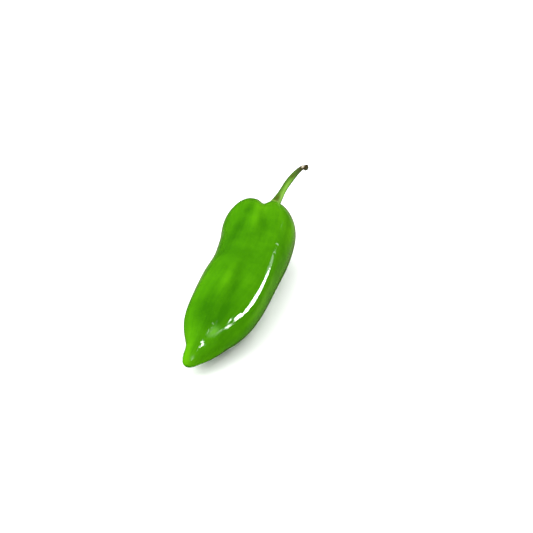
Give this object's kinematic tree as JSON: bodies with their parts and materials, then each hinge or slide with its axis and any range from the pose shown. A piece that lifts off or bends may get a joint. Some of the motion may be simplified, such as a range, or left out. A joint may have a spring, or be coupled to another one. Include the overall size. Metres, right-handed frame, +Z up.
{
  "type": "bull horn pepper",
  "caption": "Long green horn-shaped pepper with a bent tip, lobed shoulders and a curved stem, lying on its side.",
  "frame": {"origin": "on the surface that the pepper lies on, in the flat spot under its weight", "axes": "+X runs along the pod towards the stem, with the tip towards -X, +Z is up"},
  "size_m": [0.1865, 0.048, 0.0506],
  "materials": {
    "pod_skin": "fresh green skin, waxy and glossy, lighter on the lobes and yellower towards the tip",
    "stem_green": "pale green, ridged and dull, with a dry brown end where it was picked"
  },
  "bodies": {
    "root": {"pod": "pod_skin", "stem_and_calyx": "stem_green"}
  },
  "joints": []
}
